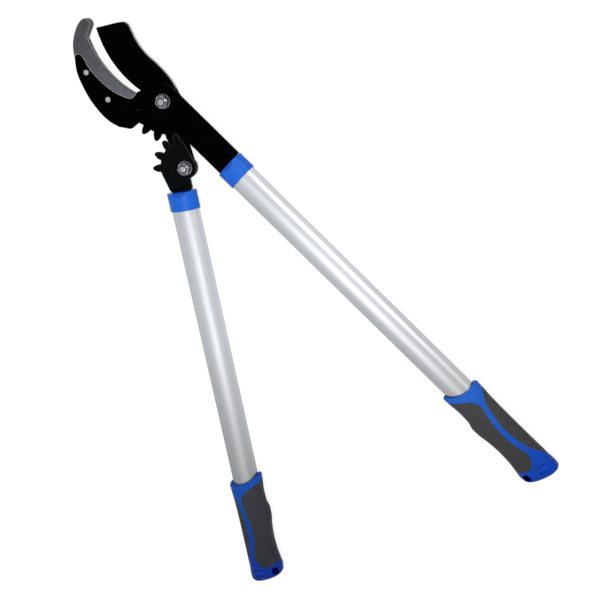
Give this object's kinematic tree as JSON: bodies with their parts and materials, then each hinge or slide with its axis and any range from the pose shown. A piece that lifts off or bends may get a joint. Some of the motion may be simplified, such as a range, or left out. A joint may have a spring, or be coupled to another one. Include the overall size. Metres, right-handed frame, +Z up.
{
  "type": "anvil lopper",
  "caption": "Long-handled geared anvil lopper with a hooked anvil jaw, oval aluminium handles, blue collars and two-colour grips, lying on its side.",
  "frame": {"origin": "on the main pivot's axis at the face of its bolt head, which is the surface the tool lies on", "axes": "+Z up along both pivot axes, from the bolt heads to the nuts; handle A lies along -Y and the blade and the jaw's hook point to +Y; handle B lies on the -X side"},
  "size_m": [0.4365, 0.7816, 0.0313],
  "materials": {
    "plate_black": "satin",
    "anvil_alloy": "satin",
    "zinc_steel": "satin",
    "tube_aluminium": "satin",
    "collar_blue": "satin",
    "grip_blue": "satin",
    "grip_rubber": "matte",
    "nylon_insert": "satin",
    "plug_nylon": "satin",
    "bush_bronze": "satin"
  },
  "bodies": {
    "head_and_handle_a": {"arm_plate": "plate_black", "blade": "plate_black", "collar_a": "collar_blue", "grip_core_a": "grip_blue", "grip_inner_pad_a": "grip_rubber", "grip_outer_pad_a": "grip_rubber", "link_bolt": "zinc_steel", "link_bush": "bush_bronze", "link_nut": "zinc_steel", "link_nut_insert": "nylon_insert", "link_washer": "zinc_steel", "main_bolt": "zinc_steel", "main_bush": "bush_bronze", "main_nut": "zinc_steel", "main_nut_insert": "nylon_insert", "main_washer": "zinc_steel", "tang_pin_a": "zinc_steel", "tang_plug_a": "plug_nylon", "tang_spacer": "plate_black", "tube_a": "tube_aluminium"},
    "jaw": {"jaw_plate": "plate_black", "anvil": "anvil_alloy", "anvil_rivet_lower": "zinc_steel", "anvil_rivet_upper": "zinc_steel"},
    "handle_b": {"collar_b": "collar_blue", "grip_core_b": "grip_blue", "grip_inner_pad_b": "grip_rubber", "grip_outer_pad_b": "grip_rubber", "tang_pin_b": "zinc_steel", "tang_plug_b": "plug_nylon", "tube_b": "tube_aluminium", "pinion_plate": "plate_black"}
  },
  "joints": [
    {"name": "handle_b_pivot", "type": "hinge", "parent": "head_and_handle_a", "child": "handle_b", "pos_m": [-0.04235, -0.07076, 0.0146], "axis": [0, 0, 1], "range_deg": [-58, 9]},
    {"name": "jaw_pivot", "type": "hinge", "parent": "head_and_handle_a", "child": "jaw", "pos_m": [0, 0, 0.0146], "axis": [0, 0, 1], "range_deg": [-7.41, 47.77]}
  ],
  "couplings": [
    {"joint": "jaw_pivot", "follows": "handle_b_pivot", "ratio": -0.82353}
  ]
}
